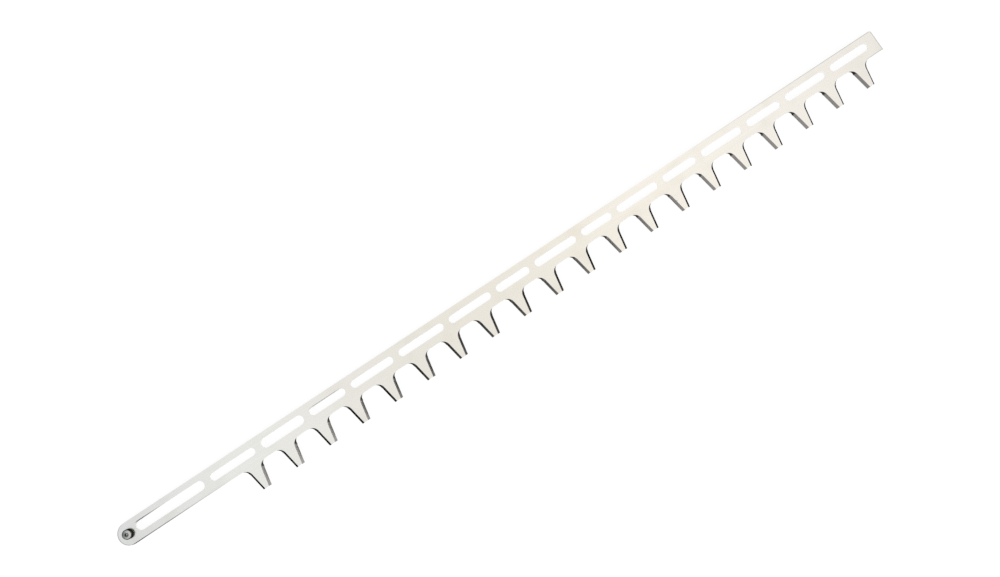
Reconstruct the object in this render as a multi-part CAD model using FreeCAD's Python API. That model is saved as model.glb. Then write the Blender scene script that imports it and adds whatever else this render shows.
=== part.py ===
import FreeCAD, Part
import itertools
import math
import os

# Blade of a single-sided hedge trimmer: one flat toothed plate and the drive pin riveted to it.
# Millimetres. The origin is on the drive pin's axis at the cutting face, +X runs to the free tip,
# the teeth point to -Y, and the ground bevels and the pin face +Z.

# Plate
PLATE_THICKNESS = 2.5
BAR_WIDTH = 21.1  # back edge to the floors between the teeth
DRIVE_END_DISTANCE = 9.8  # pin axis to the rounded drive end
TIP_CORNER_RADIUS = 2.2  # back corner of the square tip

# Teeth, stamped as gaps with upright walls and then ground to an edge on both flanks
TOOTH_COUNT = 20
TOOTH_PITCH = 35.0
TOOTH_LENGTH = 22.9  # floor of the gaps to the tooth ends
TOOTH_END_WIDTH = 3.8  # on the upper face
FLANK_ANGLE = 10.2  # lean of a flank from square across the bar, degrees
BEVEL_ANGLE = 41.0  # lean of a ground flank from upright, degrees
STAMPED_RADIUS = 4.7  # corners of a gap as stamped
GROUND_RADIUS = 7.2  # corners of the bevel, on the upper face
GRINDING_ALLOWANCE = 0.3  # stamped metal that grinding takes off a flank at the cutting face
WHEEL_CLEARANCE = 0.2  # how far the bevel stays off the floor of a gap
FIRST_TOOTH_DISTANCE = 123.6  # pin axis to the middle of the first tooth
TIP_DISTANCE = 28.9  # middle of the last tooth to the end of the tip

# Slots along the spine, guide slots and lightening windows in turn
SLOT_OFFSET = 0.55  # middle line of the slots from the bar's, towards the back edge
FIRST_SLOT_DISTANCE = 8.4  # pin axis to the near end of the first slot
FIRST_SLOT_LENGTH = 70.2
GUIDE_SLOT_LENGTH = 44.3
WINDOW_LENGTHS = (46.3, 37.3, 47.3, 35.3, 32.3, 36.1, 36.9)
SLOT_WIDTH = 7.3
WIDE_SLOT_WIDTH = 9.0
WIDE_GUIDE_SLOTS = 2  # the guide slots nearest to the gear case
SLOT_BRIDGE = 7.0  # metal between two slots
TIP_LAND = 10.2  # metal between the last slot and the tip

# Drive pin
PIN_DIAMETER = 9.0
PIN_HEIGHT = 4.6  # rim of the end above the upper face
PIN_CHAMFER = 0.7
PIN_CROWN = 0.4  # rise of the rounded end from its rim to the axis
CENTRE_MARK_DIAMETER = 3.6
CENTRE_MARK_FLOOR_DIAMETER = 1.4
CENTRE_MARK_DEPTH = 0.7
TAIL_DIAMETER = 6.0
TAIL_COUNTERSINK_DIAMETER = 8.4  # at the cutting face
TAIL_COUNTERSINK_DEPTH = 1.2
TAIL_RECESS = 0.2  # the peened tail stays below the cutting face, clear of the sister blade

CUT_OVERRUN = 0.5  # how far a cutting shape reaches past the metal

# Derived places and sizes
half_bar = BAR_WIDTH / 2
tooth_end_y = -half_bar - TOOTH_LENGTH
last_tooth_x = FIRST_TOOTH_DISTANCE + (TOOTH_COUNT - 1) * TOOTH_PITCH
blade_end_x = last_tooth_x + TIP_DISTANCE
flank = math.radians(FLANK_ANGLE)
bevel_slope = math.tan(math.radians(BEVEL_ANGLE))  # sideways for each millimetre of depth
corner_reach = math.tan(math.pi / 4 - flank / 2)  # floor taken up by a corner of unit radius


def point(x, y, z=0.0):
    return FreeCAD.Vector(x, y, z)


def line(start, end):
    return Part.LineSegment(start, end).toShape()


def arc(start, middle, end):
    return Part.Arc(start, middle, end).toShape()


def plate_from(edges, low=0.0, high=PLATE_THICKNESS):
    outline = Part.Face(Part.Wire(edges))
    outline.translate(point(0, 0, low))
    return outline.extrude(point(0, 0, high - low))


def bar():
    # Straight spine with a full-radius drive end and a square tip
    round_x = half_bar - DRIVE_END_DISTANCE
    corner_x = blade_end_x - TIP_CORNER_RADIUS
    corner_y = half_bar - TIP_CORNER_RADIUS
    corner_middle = TIP_CORNER_RADIUS * math.sqrt(0.5)
    back_start = point(round_x, half_bar)
    back_end = point(corner_x, half_bar)
    tip_start = point(blade_end_x, corner_y)
    tip_end = point(blade_end_x, -half_bar)
    neck_end = point(round_x, -half_bar)
    return plate_from(
        [
            line(back_start, back_end),
            arc(back_end, point(corner_x + corner_middle, corner_y + corner_middle), tip_start),
            line(tip_start, tip_end),
            line(tip_end, neck_end),
            arc(neck_end, point(-DRIVE_END_DISTANCE, 0), back_start),
        ]
    )


def tooth_strip():
    # Uncut metal for the teeth, half a pitch past the first and the last
    strip_start = FIRST_TOOTH_DISTANCE - TOOTH_PITCH / 2
    strip_length = TOOTH_COUNT * TOOTH_PITCH
    corner = point(strip_start, tooth_end_y)
    return Part.makeBox(strip_length, TOOTH_LENGTH, PLATE_THICKNESS, corner)


def gap_edges(floor_y, radius, inset, level=0.0):
    # Gap between two teeth, centred on X = 0: a floor, two round corners and flanks that open out.
    # The inset moves the flanks in from those that show on the upper face.
    foot_x = (TOOTH_PITCH - TOOTH_END_WIDTH) / 2 - (floor_y - tooth_end_y) * math.tan(flank) - inset
    floor_end = point(foot_x - radius * corner_reach, floor_y, level)
    centre = floor_end - point(0, radius)
    halfway = (math.pi / 2 + flank) / 2
    open_y = tooth_end_y - CUT_OVERRUN
    corner_middle = centre + point(math.cos(halfway), math.sin(halfway)) * radius
    flank_start = centre + point(math.cos(flank), math.sin(flank)) * radius
    flank_end = point(flank_start.x + (flank_start.y - open_y) * math.tan(flank), open_y, level)

    def mirrored(place):
        return point(-place.x, place.y, place.z)

    return [
        line(mirrored(floor_end), floor_end),
        arc(floor_end, corner_middle, flank_start),
        line(flank_start, flank_end),
        line(flank_end, mirrored(flank_end)),
        line(mirrored(flank_end), mirrored(flank_start)),
        arc(mirrored(flank_start), mirrored(corner_middle), mirrored(floor_end)),
    ]


def stamped_gap():
    # Upright walls, a little narrower than the finished gap at the cutting face
    inset = PLATE_THICKNESS * bevel_slope / math.cos(flank) + GRINDING_ALLOWANCE
    edges = gap_edges(-half_bar, STAMPED_RADIUS, inset)
    return plate_from(edges, -CUT_OVERRUN, PLATE_THICKNESS + CUT_OVERRUN)


def ground_edges(level):
    # The wheel's shape at one height: it leans the same all round, so its corners are cones
    step = (PLATE_THICKNESS - level) * bevel_slope
    floor_y = -half_bar - WHEEL_CLEARANCE - step
    return gap_edges(floor_y, GROUND_RADIUS - step, step / math.cos(flank), level)


def wall_between(lower, upper):
    # Flat between straight edges, conical between arcs, which all turn the same way
    ends = [lower.valueAt(lower.FirstParameter), lower.valueAt(lower.LastParameter)]
    ends += [upper.valueAt(upper.LastParameter), upper.valueAt(upper.FirstParameter)]
    if isinstance(lower.Curve, Part.Circle):
        return line(ends[0], ends[3]).revolve(lower.Curve.Center, point(0, 0, -1), 90 - FLANK_ANGLE)
    return Part.Face(Part.makePolygon(ends + ends[:1]))


def ground_gap():
    # Bevels on both flanks that run out round the corners, short of the floor
    lower = ground_edges(-CUT_OVERRUN)
    upper = ground_edges(PLATE_THICKNESS + CUT_OVERRUN)
    faces = [wall_between(low, high) for low, high in zip(lower, upper)]
    faces += [Part.Face(Part.Wire(lower)), Part.Face(Part.Wire(upper))]
    skin = Part.makeShell(faces)
    skin.sewShape()
    return Part.makeSolid(skin)


def gap_cuts():
    # One gap before the first tooth and one after each tooth
    shapes = [stamped_gap(), ground_gap()]
    cuts = []
    for index in range(TOOTH_COUNT + 1):
        gap_x = FIRST_TOOTH_DISTANCE + (index - 0.5) * TOOTH_PITCH
        cuts += [shape.translated(point(gap_x, 0)) for shape in shapes]
    return cuts


def slot_lengths():
    # The long first guide slot, then windows and guide slots in turn for as far as the bar goes
    yield FIRST_SLOT_LENGTH
    for window_length in itertools.cycle(WINDOW_LENGTHS):
        yield window_length
        yield GUIDE_SLOT_LENGTH


def slot_spans():
    # The last slot takes what is left in front of the tip's land
    row_end = blade_end_x - TIP_LAND
    shortest = 2 * SLOT_WIDTH
    spans = []
    start = FIRST_SLOT_DISTANCE
    for length in slot_lengths():
        next_start = start + length + SLOT_BRIDGE
        if next_start + shortest > row_end:
            spans.append((start, row_end))
            return spans
        spans.append((start, start + length))
        start = next_start


def slot_cut(start, end, width):
    radius = width / 2
    near_x = start + radius
    far_x = end - radius
    back_y = SLOT_OFFSET + radius
    front_y = SLOT_OFFSET - radius
    return plate_from(
        [
            line(point(near_x, back_y), point(far_x, back_y)),
            arc(point(far_x, back_y), point(end, SLOT_OFFSET), point(far_x, front_y)),
            line(point(far_x, front_y), point(near_x, front_y)),
            arc(point(near_x, front_y), point(start, SLOT_OFFSET), point(near_x, back_y)),
        ],
        -CUT_OVERRUN,
        PLATE_THICKNESS + CUT_OVERRUN,
    )


def slot_cuts():
    cuts = []
    for index, (start, end) in enumerate(slot_spans()):
        guide_number, is_window = divmod(index, 2)
        is_wide = not is_window and guide_number < WIDE_GUIDE_SLOTS
        cuts.append(slot_cut(start, end, WIDE_SLOT_WIDTH if is_wide else SLOT_WIDTH))
    return cuts


def straight_edges(corners):
    return [line(start, end) for start, end in zip(corners, corners[1:])]


def turned(edges):
    section = Part.Face(Part.Wire(edges))
    return section.revolve(point(0, 0), point(0, 0, 1), 360)


def tail_hole():
    # Hole for the pin's tail, countersunk on the cutting face
    axis_start = point(0, 0, 0)
    return turned(
        straight_edges(
            [
                axis_start,
                point(TAIL_COUNTERSINK_DIAMETER / 2, 0, 0),
                point(TAIL_DIAMETER / 2, 0, TAIL_COUNTERSINK_DEPTH),
                point(TAIL_DIAMETER / 2, 0, PLATE_THICKNESS),
                point(0, 0, PLATE_THICKNESS),
                axis_start,
            ]
        )
    )


def drive_pin():
    # Turned pin: shoulder on the upper face, tail peened to fill its hole line to line,
    # and a slightly rounded end with the lathe's centre mark
    pin_radius = PIN_DIAMETER / 2
    tail_radius = TAIL_DIAMETER / 2
    countersink_slope = (TAIL_COUNTERSINK_DIAMETER / 2 - tail_radius) / TAIL_COUNTERSINK_DEPTH
    peened_radius = TAIL_COUNTERSINK_DIAMETER / 2 - TAIL_RECESS * countersink_slope
    rim_radius = pin_radius - PIN_CHAMFER
    rim_z = PLATE_THICKNESS + PIN_HEIGHT
    ball_radius = (rim_radius**2 + PIN_CROWN**2) / (2 * PIN_CROWN)
    ball_z = rim_z + PIN_CROWN - ball_radius

    def on_crown(radius):
        return point(radius, 0, ball_z + math.sqrt(ball_radius**2 - radius**2))

    rim = on_crown(rim_radius)
    mark_edge = on_crown(CENTRE_MARK_DIAMETER / 2)
    crown_middle = on_crown((rim_radius + CENTRE_MARK_DIAMETER / 2) / 2)
    mark_z = mark_edge.z - CENTRE_MARK_DEPTH
    axis_start = point(0, 0, TAIL_RECESS)
    below_crown = [
        axis_start,
        point(peened_radius, 0, TAIL_RECESS),
        point(tail_radius, 0, TAIL_COUNTERSINK_DEPTH),
        point(tail_radius, 0, PLATE_THICKNESS),
        point(pin_radius, 0, PLATE_THICKNESS),
        point(pin_radius, 0, rim_z - PIN_CHAMFER),
        rim,
    ]
    past_crown = [
        mark_edge,
        point(CENTRE_MARK_FLOOR_DIAMETER / 2, 0, mark_z),
        point(0, 0, mark_z),
        axis_start,
    ]
    crown = arc(rim, crown_middle, mark_edge)
    return turned(straight_edges(below_crown) + [crown] + straight_edges(past_crown))


def blade():
    blank = bar().fuse(tooth_strip())
    return blank.cut(gap_cuts() + slot_cuts() + [tail_hole()]).removeSplitter()


os.makedirs("parts", exist_ok=True)
blade().exportStep("parts/blade.step")
drive_pin().exportStep("parts/drive_pin.step")
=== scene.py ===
import bpy
import math
from mathutils import Matrix, Quaternion, Vector


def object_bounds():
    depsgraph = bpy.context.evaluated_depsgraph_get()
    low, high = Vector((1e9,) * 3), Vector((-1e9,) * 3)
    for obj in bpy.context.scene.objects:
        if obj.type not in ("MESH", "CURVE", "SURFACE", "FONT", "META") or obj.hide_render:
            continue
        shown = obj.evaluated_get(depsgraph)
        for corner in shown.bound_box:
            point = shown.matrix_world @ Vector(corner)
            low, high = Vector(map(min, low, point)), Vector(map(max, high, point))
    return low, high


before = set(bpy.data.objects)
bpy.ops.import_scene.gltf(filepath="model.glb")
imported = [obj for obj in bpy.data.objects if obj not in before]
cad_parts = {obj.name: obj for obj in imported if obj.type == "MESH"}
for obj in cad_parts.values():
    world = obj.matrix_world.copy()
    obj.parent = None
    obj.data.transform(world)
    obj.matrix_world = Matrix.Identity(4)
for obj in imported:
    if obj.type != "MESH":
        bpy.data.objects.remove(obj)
cadBox = [list(corner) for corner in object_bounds()]
print("frame loaded, nodes:", ", ".join(sorted(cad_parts)))

mm = 0.001  # in Blender's metres


def linear(hexColour):
    # sRGB hex to the linear values that shaders work in
    shares = [int(hexColour[place : place + 2], 16) / 255 for place in (1, 3, 5)]
    curved = [s / 12.92 if s <= 0.04045 else ((s + 0.055) / 1.055) ** 2.4 for s in shares]
    return curved + [1.0]


def addNode(tree, kind, settings=None, links=None):
    # Settings name a property of the node or one of its sockets, links name sockets;
    # a Mix node's sockets go by number: 0 share, 2 and 3 numbers, 6 and 7 colours, 2 colour out
    node = tree.nodes.new(kind)
    for name, value in (settings or {}).items():
        if isinstance(name, str) and hasattr(node, name):
            setattr(node, name, value)
        else:
            node.inputs[name].default_value = value
    for name, source in (links or {}).items():
        tree.links.new(source, node.inputs[name])
    return node


def newMaterial(name):
    material = bpy.data.materials.new(name)
    material.use_nodes = True
    material.node_tree.nodes.clear()
    return material, material.node_tree


def dress(nodeName, material):
    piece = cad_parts[nodeName]
    piece.data.materials.clear()
    piece.data.materials.append(material)


# Blade
bladeFinish = {
    "face": "#fcf7ee",  # clean ground steel
    "faceGrain": "#f5f0e7",  # valleys of the grinding marks
    "stain": "#ece6d9",  # dried oil film
    "speck": "#8a857c",
    "bevel": "#2b2a29",  # hardened cutting flanks, darkened further as a painted dark reflection
    "bevelGrain": "#232221",
    "wall": "#ebe9e5",  # sheared edges
    "faceGlance": "#ffffff",  # tint at a glancing look
    "bevelGlance": "#000000",  # flanks stay dark at a glancing look
    "grainLength": 70.0,  # mm, along the blade
    "grainWidth": 1.4,  # mm, real marks are about 0.1 and wouldn't show
    "grainRelief": 0.012,  # mm
    "reliefStrength": 0.4,
    "stainSize": 26.0,  # mm
    "stainStrength": 0.5,
    "speckSpacing": 30.0,  # mm
    "speckRadius": 0.75,  # mm, where it has faded out
    "speckCore": 0.45,  # mm, where it starts to fade
    "speckStrength": 0.6,
    "bevelMarkSize": 0.9,  # mm
    "faceRoughness": 0.24,
    "grainRoughness": 0.06,  # more in the valleys and less on the ridges
    "bevelRoughness": 0.28,
    "wallRoughness": 0.5,
    "edgeShade": "#1f1e1c",  # painted shade, in thin dark lines along some edges
    "edgeShadeWidth": 0.75,  # mm from the edge
    "edgeShadeCore": 0.7,  # share of that width before the line fades
    "edgeShadeLines": [
        # Edge, then the line's strengths at places along the blade, in mm
        ("front", [(-4, 0.0), (-3, 1.0), (8, 1.0), (14, 0.8), (40, 0.66), (66, 0.3), (108, 0.0)]),
        ("front", [(798, 0.0), (803, 0.3)]),
        ("firstSlotBack", [(11.5, 0.0), (13, 1.0), (20, 0.85), (40, 0.0)]),
        ("slotBack", [(192, 0.0), (196, 0.5), (220, 0.4), (226, 0.0)]),
        ("back", [(600, 0.0), (700, 0.25), (817, 0.35)]),
        ("tipEnd", [(810, 0.0), (816, 0.4)]),
        ("roundEnd", [(-9, 0.5), (-4, 0.35), (0, 0.0)]),
    ],
    "roundEndCentre": 0.75,  # mm along the blade
    "slotMiddle": 0.55,  # mm from the bar's middle towards its back
    "slotWidth": 7.3,  # mm
    "firstSlotWidth": 9.0,  # mm
}


def groundSpringSteel(finish):
    # Spring steel sheet, ground along its length and then bevelled on the teeth: a pale silky face
    # with lengthwise grain, dark flanks that are hardened and partly a painted dark reflection, and
    # dull sheared edges
    material, tree = newMaterial("groundSpringSteel")
    coords = addNode(tree, "ShaderNodeTexCoord")

    # Surfaces are told apart by how flat they lie: 0 on upright edges, 1 on the flat faces
    bevelFrom, bevelFull = 0.02, 0.12
    faceFrom, faceFull = 0.75, 0.95
    facing = addNode(tree, "ShaderNodeSeparateXYZ", links={"Vector": coords.outputs["Normal"]})
    lean = addNode(tree, "ShaderNodeMath", {"operation": "ABSOLUTE"}, {0: facing.outputs["Z"]})
    onFace = addNode(
        tree,
        "ShaderNodeMapRange",
        {"From Min": faceFrom, "From Max": faceFull},
        {"Value": lean.outputs[0]},
    )
    pastWall = addNode(
        tree,
        "ShaderNodeMapRange",
        {"From Min": bevelFrom, "From Max": bevelFull},
        {"Value": lean.outputs[0]},
    )

    # Lengthwise grinding marks
    lengthwise = 1 / (finish["grainLength"] * mm)
    sideways = 1 / (finish["grainWidth"] * mm)
    grainPlace = addNode(
        tree,
        "ShaderNodeMapping",
        {"Scale": (lengthwise, sideways, sideways)},
        {"Vector": coords.outputs["Object"]},
    )
    grain = addNode(
        tree,
        "ShaderNodeTexNoise",
        {"Scale": 1.0, "Detail": 3.0, "Roughness": 0.6},
        {"Vector": grainPlace.outputs[0]},
    )
    grained = addNode(
        tree,
        "ShaderNodeMix",
        {"data_type": "RGBA", 6: linear(finish["faceGrain"]), 7: linear(finish["face"])},
        {0: grain.outputs["Fac"]},
    )

    # Faint cloudy stains, on the thicker half of a cloud pattern
    stainFrom, stainFull = 0.5, 0.75
    cloud = addNode(
        tree,
        "ShaderNodeTexNoise",
        {"Scale": 1 / (finish["stainSize"] * mm), "Detail": 4.0, "Roughness": 0.55},
        {"Vector": coords.outputs["Object"]},
    )
    stainAmount = addNode(
        tree,
        "ShaderNodeMapRange",
        {"From Min": stainFrom, "From Max": stainFull, "To Max": finish["stainStrength"]},
        {"Value": cloud.outputs["Fac"]},
    )
    stained = addNode(
        tree,
        "ShaderNodeMix",
        {"data_type": "RGBA", 7: linear(finish["stain"])},
        {0: stainAmount.outputs[0], 6: grained.outputs[2]},
    )

    # A few small specks, whose distances are measured in spacings
    dots = addNode(
        tree,
        "ShaderNodeTexVoronoi",
        {"Scale": 1 / (finish["speckSpacing"] * mm)},
        {"Vector": coords.outputs["Object"]},
    )
    speckAmount = addNode(
        tree,
        "ShaderNodeMapRange",
        {
            "From Min": finish["speckRadius"] / finish["speckSpacing"],
            "From Max": finish["speckCore"] / finish["speckSpacing"],
            "To Max": finish["speckStrength"],
        },
        {"Value": dots.outputs["Distance"]},
    )
    specked = addNode(
        tree,
        "ShaderNodeMix",
        {"data_type": "RGBA", 7: linear(finish["speck"])},
        {0: speckAmount.outputs[0], 6: stained.outputs[2]},
    )

    # Bevels carry marks of the profile wheel; their dark colour is partly a painted dark reflection
    bevelMarks = addNode(
        tree,
        "ShaderNodeTexNoise",
        {"Scale": 1 / (finish["bevelMarkSize"] * mm), "Detail": 2.0},
        {"Vector": coords.outputs["Object"]},
    )
    bevelled = addNode(
        tree,
        "ShaderNodeMix",
        {"data_type": "RGBA", 6: linear(finish["bevelGrain"]), 7: linear(finish["bevel"])},
        {0: bevelMarks.outputs["Fac"]},
    )
    wallOrBevel = addNode(
        tree,
        "ShaderNodeMix",
        {"data_type": "RGBA", 6: linear(finish["wall"])},
        {0: pastWall.outputs[0], 7: bevelled.outputs[2]},
    )
    colour = addNode(
        tree,
        "ShaderNodeMix",
        {"data_type": "RGBA"},
        {0: onFace.outputs[0], 6: wallOrBevel.outputs[2], 7: specked.outputs[2]},
    )

    # Painted shade in thin dark lines along some edges, standing in for their shadow and dark
    # reflection, on the face and on the sheared edge under it
    places = addNode(tree, "ShaderNodeSeparateXYZ", links={"Vector": coords.outputs["Object"]})
    flatPlace = addNode(
        tree,
        "ShaderNodeVectorMath",
        {"operation": "MULTIPLY", 1: (1.0, 1.0, 0.0)},
        {0: coords.outputs["Object"]},
    )
    fromRoundEnd = addNode(
        tree,
        "ShaderNodeVectorMath",
        {"operation": "DISTANCE", 1: (finish["roundEndCentre"] * mm, 0.0, 0.0)},
        {0: flatPlace.outputs[0]},
    )
    bladeStart, bladeTip = cadBox[0][0], cadBox[1][0]
    halfBar = cadBox[1][1]
    slotMiddle = finish["slotMiddle"] * mm
    shadedEdges = {
        "front": (places.outputs["Y"], -halfBar),
        "back": (places.outputs["Y"], halfBar),
        "firstSlotBack": (places.outputs["Y"], slotMiddle + finish["firstSlotWidth"] / 2 * mm),
        "slotBack": (places.outputs["Y"], slotMiddle + finish["slotWidth"] / 2 * mm),
        "tipEnd": (places.outputs["X"], bladeTip),
        "roundEnd": (fromRoundEnd.outputs["Value"], halfBar),
    }
    edgeShadeWidth = finish["edgeShadeWidth"] * mm
    lengthShare = addNode(
        tree,
        "ShaderNodeMapRange",
        {"From Min": bladeStart, "From Max": bladeTip},
        {"Value": places.outputs["X"]},
    )
    for edgeName, strengths in finish["edgeShadeLines"]:
        measure, edge = shadedEdges[edgeName]
        fromEdge = addNode(
            tree,
            "ShaderNodeMath",
            {"operation": "SUBTRACT", 1: edge},
            {0: measure},
        )
        gap = addNode(tree, "ShaderNodeMath", {"operation": "ABSOLUTE"}, {0: fromEdge.outputs[0]})
        across = addNode(
            tree,
            "ShaderNodeMapRange",
            {"From Min": edgeShadeWidth, "From Max": edgeShadeWidth * finish["edgeShadeCore"]},
            {"Value": gap.outputs[0]},
        )
        along = addNode(tree, "ShaderNodeValToRGB", links={"Fac": lengthShare.outputs[0]})
        stops = along.color_ramp.elements
        while len(stops) < len(strengths):
            stops.new(0.5)
        for stop, (place, strength) in zip(stops, strengths):
            stop.position = (place * mm - bladeStart) / (bladeTip - bladeStart)
            stop.color = (strength, strength, strength, 1.0)
        amount = addNode(
            tree,
            "ShaderNodeMath",
            {"operation": "MULTIPLY"},
            {0: across.outputs[0], 1: along.outputs["Color"]},
        )
        # Mixes in the painted edge shade
        colour = addNode(
            tree,
            "ShaderNodeMix",
            {"data_type": "RGBA", 7: linear(finish["edgeShade"])},
            {0: amount.outputs[0], 6: colour.outputs[2]},
        )

    # Roughness follows the surface, and the grain on the face
    edgeRoughness = addNode(
        tree,
        "ShaderNodeMapRange",
        {"To Min": finish["wallRoughness"], "To Max": finish["bevelRoughness"]},
        {"Value": pastWall.outputs[0]},
    )
    faceRoughness = addNode(
        tree,
        "ShaderNodeMapRange",
        {
            "To Min": finish["faceRoughness"] + finish["grainRoughness"],
            "To Max": finish["faceRoughness"] - finish["grainRoughness"],
        },
        {"Value": grain.outputs["Fac"]},
    )
    roughness = addNode(
        tree,
        "ShaderNodeMix",
        {"data_type": "FLOAT"},
        {0: onFace.outputs[0], 2: edgeRoughness.outputs[0], 3: faceRoughness.outputs[0]},
    )
    onBevel = addNode(
        tree,
        "ShaderNodeMath",
        {"operation": "SUBTRACT"},
        {0: pastWall.outputs[0], 1: onFace.outputs[0]},
    )
    glance = addNode(
        tree,
        "ShaderNodeMix",
        {"data_type": "RGBA", 6: linear(finish["faceGlance"]), 7: linear(finish["bevelGlance"])},
        {0: onBevel.outputs[0]},
    )
    relief = addNode(
        tree,
        "ShaderNodeBump",
        {"Strength": finish["reliefStrength"], "Distance": finish["grainRelief"] * mm},
        {"Height": grain.outputs["Fac"]},
    )
    steel = addNode(
        tree,
        "ShaderNodeBsdfPrincipled",
        {"Metallic": 1.0},
        {
            "Base Color": colour.outputs[2],
            "Roughness": roughness.outputs[0],
            "Specular Tint": glance.outputs[2],
            "Normal": relief.outputs[0],
        },
    )
    addNode(tree, "ShaderNodeOutputMaterial", links={"Surface": steel.outputs[0]})
    return material


dress("blade", groundSpringSteel(bladeFinish))
print("blade dressed")


# Drive pin
pinFinish = {
    "end": "#93918d",  # ground end
    "endGrain": "#8a8884",
    "endHighlight": "#cdcbc6",  # painted highlight, lighter on one side of the end
    "highlightTowards": -12.0,  # degrees about the pin, from the blade's length
    "highlightFrom": -2.5,  # mm from the axis, no painted highlight yet
    "highlightTo": 2.5,  # mm, full painted highlight
    "mark": "#2a2928",  # wall of the centre mark, painted dark as the shade in the recess
    "markFloor": "#b2b0ac",
    "markSize": 3.5,  # mm across
    "markFade": 0.2,  # mm
    "markFloorSize": 1.5,  # mm across
    "side": "#383631",  # blackened by hardening, and darker still as painted shade on the shaded side
    # painted shade on the chamfer rim, as dark as the side
    "chamfer": "#3a3834",
    "endGlance": "#ffffff",  # tint at a glancing look
    "sideGlance": "#000000",
    "turningSpacing": 0.35,  # mm between turning marks
    "endRoughness": 0.35,
    "sideRoughness": 0.5,
}


def hardenedPinSteel(finish):
    # Turned steel pin, hardened black and then ground on its end: a grey end with turning rings
    # and a painted highlight on one side, a chamfer and a near-black side darkened further as
    # painted shade
    material, tree = newMaterial("hardenedPinSteel")
    coords = addNode(tree, "ShaderNodeTexCoord")

    # Surfaces are told apart by how flat they lie: 0 on the side, 1 on the end
    chamferFrom, chamferFull = 0.2, 0.6
    endFrom, endFull = 0.8, 0.95
    facing = addNode(tree, "ShaderNodeSeparateXYZ", links={"Vector": coords.outputs["Normal"]})
    lean = addNode(tree, "ShaderNodeMath", {"operation": "ABSOLUTE"}, {0: facing.outputs["Z"]})
    onEnd = addNode(
        tree,
        "ShaderNodeMapRange",
        {"From Min": endFrom, "From Max": endFull},
        {"Value": lean.outputs[0]},
    )
    pastSide = addNode(
        tree,
        "ShaderNodeMapRange",
        {"From Min": chamferFrom, "From Max": chamferFull},
        {"Value": lean.outputs[0]},
    )

    # Turning rings about the axis
    ringsPerUnit = 20 / (2 * math.pi)  # of a wave texture at scale 1
    rings = addNode(
        tree,
        "ShaderNodeTexWave",
        {
            "wave_type": "RINGS",
            "rings_direction": "Z",
            "Scale": 1 / (ringsPerUnit * finish["turningSpacing"] * mm),
            "Distortion": 1.5,
            "Detail": 2.0,
        },
        {"Vector": coords.outputs["Object"]},
    )
    ground = addNode(
        tree,
        "ShaderNodeMix",
        {"data_type": "RGBA", 6: linear(finish["endGrain"]), 7: linear(finish["end"])},
        {0: rings.outputs["Fac"]},
    )

    # Painted highlight, lighter more and more towards one side of the end
    highlightAngle = math.radians(finish["highlightTowards"])
    towards = addNode(
        tree,
        "ShaderNodeVectorMath",
        {"operation": "DOT_PRODUCT", 1: (math.cos(highlightAngle), math.sin(highlightAngle), 0.0)},
        {0: coords.outputs["Object"]},
    )
    highlightShare = addNode(
        tree,
        "ShaderNodeMapRange",
        {"From Min": finish["highlightFrom"] * mm, "From Max": finish["highlightTo"] * mm},
        {"Value": towards.outputs["Value"]},
    )
    highlighted = addNode(
        tree,
        "ShaderNodeMix",
        {"data_type": "RGBA", 7: linear(finish["endHighlight"])},
        {0: highlightShare.outputs[0], 6: ground.outputs[2]},
    )

    # Dull centre mark with its wall painted dark as the shade in the recess and its floor lighter,
    # found by the distance from the axis
    flatPlace = addNode(
        tree,
        "ShaderNodeVectorMath",
        {"operation": "MULTIPLY", 1: (1.0, 1.0, 0.0)},
        {0: coords.outputs["Object"]},
    )
    offAxis = addNode(
        tree,
        "ShaderNodeVectorMath",
        {"operation": "LENGTH"},
        {0: flatPlace.outputs[0]},
    )
    markRadius = finish["markSize"] / 2
    inMark = addNode(
        tree,
        "ShaderNodeMapRange",
        {"From Min": markRadius * mm, "From Max": (markRadius - finish["markFade"]) * mm},
        {"Value": offAxis.outputs["Value"]},
    )
    onMarkFloor = addNode(
        tree,
        "ShaderNodeMath",
        {"operation": "LESS_THAN", 1: finish["markFloorSize"] / 2 * mm},
        {0: offAxis.outputs["Value"]},
    )
    markColour = addNode(
        tree,
        "ShaderNodeMix",
        {"data_type": "RGBA", 6: linear(finish["mark"]), 7: linear(finish["markFloor"])},
        {0: onMarkFloor.outputs[0]},
    )

    sideOrChamfer = addNode(
        tree,
        "ShaderNodeMix",
        {"data_type": "RGBA", 6: linear(finish["side"]), 7: linear(finish["chamfer"])},
        {0: pastSide.outputs[0]},
    )
    turnedColour = addNode(
        tree,
        "ShaderNodeMix",
        {"data_type": "RGBA"},
        {0: onEnd.outputs[0], 6: sideOrChamfer.outputs[2], 7: highlighted.outputs[2]},
    )
    colour = addNode(
        tree,
        "ShaderNodeMix",
        {"data_type": "RGBA"},
        {0: inMark.outputs[0], 6: turnedColour.outputs[2], 7: markColour.outputs[2]},
    )
    polished = addNode(
        tree,
        "ShaderNodeMath",
        {"operation": "SUBTRACT", "use_clamp": True},
        {0: onEnd.outputs[0], 1: inMark.outputs[0]},
    )
    roughness = addNode(
        tree,
        "ShaderNodeMapRange",
        {"To Min": finish["sideRoughness"], "To Max": finish["endRoughness"]},
        {"Value": polished.outputs[0]},
    )
    glance = addNode(
        tree,
        "ShaderNodeMix",
        {"data_type": "RGBA", 6: linear(finish["sideGlance"]), 7: linear(finish["endGlance"])},
        {0: onEnd.outputs[0]},
    )
    steel = addNode(
        tree,
        "ShaderNodeBsdfPrincipled",
        {"Metallic": 1.0},
        {
            "Base Color": colour.outputs[2],
            "Roughness": roughness.outputs[0],
            "Specular Tint": glance.outputs[2],
        },
    )
    addNode(tree, "ShaderNodeOutputMaterial", links={"Surface": steel.outputs[0]})
    return material


dress("drive_pin", hardenedPinSteel(pinFinish))
print("drive pin dressed")


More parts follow.
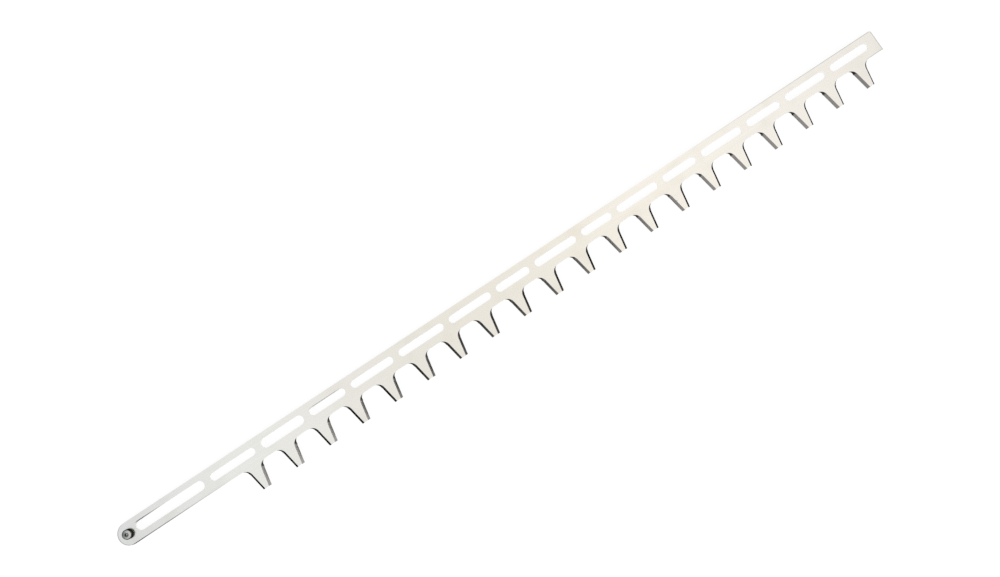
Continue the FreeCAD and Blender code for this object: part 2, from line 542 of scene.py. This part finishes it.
# Floor
floorLook = {
    "size": 60.0,  # m
    "drop": 0.02,  # mm below the blade, so that the two don't flicker
    "colour": "#f2f2f2",
    "glow": 0.91,
    "shadowShare": 0.1,  # of the light that falls on it, shown on top of its glow
    "mirroredGlow": 1.0,
}


def whiteSheet(look):
    # Matt white sheet: seen by eye it is lifted to white but keeps its shadow, mirrored it is white
    material, tree = newMaterial("whiteSheet")
    path = addNode(tree, "ShaderNodeLightPath")
    matt = addNode(tree, "ShaderNodeBsdfDiffuse", {"Color": linear(look["colour"])})
    glow = addNode(tree, "ShaderNodeEmission", {"Strength": look["glow"]})
    shadowed = addNode(
        tree,
        "ShaderNodeBsdfDiffuse",
        {"Color": [look["shadowShare"]] * 3 + [1.0]},
    )
    seen = addNode(tree, "ShaderNodeAddShader", links={0: glow.outputs[0], 1: shadowed.outputs[0]})
    toEye = addNode(
        tree,
        "ShaderNodeMixShader",
        links={0: path.outputs["Is Camera Ray"], 1: matt.outputs[0], 2: seen.outputs[0]},
    )
    mirrored = addNode(tree, "ShaderNodeEmission", {"Strength": look["mirroredGlow"]})
    mirrorOrGlass = addNode(
        tree,
        "ShaderNodeMath",
        {"operation": "MAXIMUM"},
        {0: path.outputs["Is Glossy Ray"], 1: path.outputs["Is Transmission Ray"]},
    )
    shown = addNode(
        tree,
        "ShaderNodeMixShader",
        links={0: mirrorOrGlass.outputs[0], 1: toEye.outputs[0], 2: mirrored.outputs[0]},
    )
    addNode(tree, "ShaderNodeOutputMaterial", links={"Surface": shown.outputs[0]})
    return material


bpy.ops.object.select_all(action="DESELECT")
floorLevel = cadBox[0][2] - floorLook["drop"] * mm
bpy.ops.mesh.primitive_plane_add(size=floorLook["size"], location=(0, 0, floorLevel))
floor = bpy.context.object
floor.name = "floor"
floor.data.materials.append(whiteSheet(floorLook))
print("floor laid")


# Low strip lamps, past the blade's two ends and in front of its teeth
lampLook = {
    "distance": 2500.0,  # mm from the blade's middle
    "strips": [
        # Name, the way it faces, mm towards the back, width and height in mm, brightness in whites
        ("driveEndStrip", (1, 0, 0), -950.0, 1300.0, 1300.0, 19.0),
        ("tipStrip", (-1, 0, 0), -950.0, 1300.0, 450.0, 45.0),
        ("teethStrip", (0, 1, 0), 0.0, 5000.0, 450.0, 4.0),
    ],
}
bladeMiddle = (cadBox[0][0] + cadBox[1][0]) / 2

for name, faces, towardsBack, width, height, brightness in lampLook["strips"]:
    lampData = bpy.data.lights.new(name, "AREA")
    lampData.shape = "RECTANGLE"
    lampData.size = width * mm
    lampData.size_y = height * mm
    lampData.energy = brightness * math.pi * lampData.size * lampData.size_y
    lamp = bpy.data.objects.new(name, lampData)
    bpy.context.scene.collection.objects.link(lamp)
    away = -lampLook["distance"] * mm * Vector(faces)
    lamp.location = (bladeMiddle + away.x, away.y + towardsBack * mm, height / 2 * mm)
    lamp.rotation_mode = "QUATERNION"
    lamp.rotation_quaternion = Vector(faces).to_track_quat("-Z", "Y")
    lamp.visible_camera = False
print("lamps placed")


# Pale room: its ceiling is cooler and dimmer past the drive end, warm and brightest over the
# outer half, and it darkens towards the walls
roomLook = {
    "ceiling": [
        # Place from the drive end's side, 0, to the tip's side, 1
        (0.18, "#98a2ac"),
        (0.30, "#dbe2ec"),
        (0.37, "#f4faff"),
        (0.44, "#eceef0"),
        (0.53, "#ecece7"),
        (0.60, "#fffdfa"),
        (0.68, "#ffffff"),
        (0.725, "#f3f4f6"),
        (0.75, "#eaecee"),
    ],
    "walls": "#b2b5b8",
    "wallTop": 0.15,  # height on a dome of radius 1 where the walls start to lighten
    "ceilingEdge": 0.6,
    "brightness": 1.0,
}


def paleRoom(look):
    world = bpy.data.worlds.new("paleRoom")
    world.use_nodes = True
    tree = world.node_tree
    tree.nodes.clear()
    coords = addNode(tree, "ShaderNodeTexCoord")
    direction = addNode(
        tree,
        "ShaderNodeSeparateXYZ",
        links={"Vector": coords.outputs["Generated"]},
    )
    share = addNode(
        tree,
        "ShaderNodeMapRange",
        {"From Min": -1.0, "From Max": 1.0},
        {"Value": direction.outputs["X"]},
    )
    ceiling = addNode(tree, "ShaderNodeValToRGB", links={"Fac": share.outputs[0]})
    stops = ceiling.color_ramp.elements
    while len(stops) < len(look["ceiling"]):
        stops.new(0.5)
    for stop, (place, hexColour) in zip(stops, look["ceiling"]):
        stop.position = place
        stop.color = linear(hexColour)
    height = addNode(
        tree,
        "ShaderNodeMapRange",
        {"From Min": look["wallTop"], "From Max": look["ceilingEdge"]},
        {"Value": direction.outputs["Z"]},
    )
    room = addNode(
        tree,
        "ShaderNodeMix",
        {"data_type": "RGBA", 6: linear(look["walls"])},
        {0: height.outputs[0], 7: ceiling.outputs["Color"]},
    )
    light = addNode(
        tree,
        "ShaderNodeBackground",
        {"Strength": look["brightness"]},
        {"Color": room.outputs[2]},
    )
    addNode(tree, "ShaderNodeOutputWorld", links={"Surface": light.outputs[0]})
    return world


bpy.context.scene.world = paleRoom(roomLook)
print("room lit")


# Camera: nearly straight down, from the teeth's side
cameraView = {
    "place": (344.9, -52.55, 858.9),  # mm
    "aim": (394.9, 0.15, 0.0),  # mm, on the cutting face's plane
    "turn": 33.66,  # degrees about the view axis
    "lens": 34.02,  # mm
    "sensor": 36.0,  # mm
}


def lookDown(look):
    cameraData = bpy.data.cameras.new("photoView")
    cameraData.lens = look["lens"]
    cameraData.sensor_width = look["sensor"]
    camera = bpy.data.objects.new("photoView", cameraData)
    bpy.context.scene.collection.objects.link(camera)
    place = Vector(look["place"]) * mm
    aim = Vector(look["aim"]) * mm
    view = (aim - place).normalized()
    right = view.cross(Vector((0, 1, 0))).normalized()
    upward = right.cross(view)
    unturned = Matrix((right, upward, -view)).transposed().to_quaternion()
    camera.location = place
    camera.rotation_mode = "QUATERNION"
    camera.rotation_quaternion = Quaternion(view, math.radians(look["turn"])) @ unturned
    return camera


bpy.context.scene.camera = lookDown(cameraView)
bpy.context.scene.view_settings.view_transform = "Standard"
print("camera set")
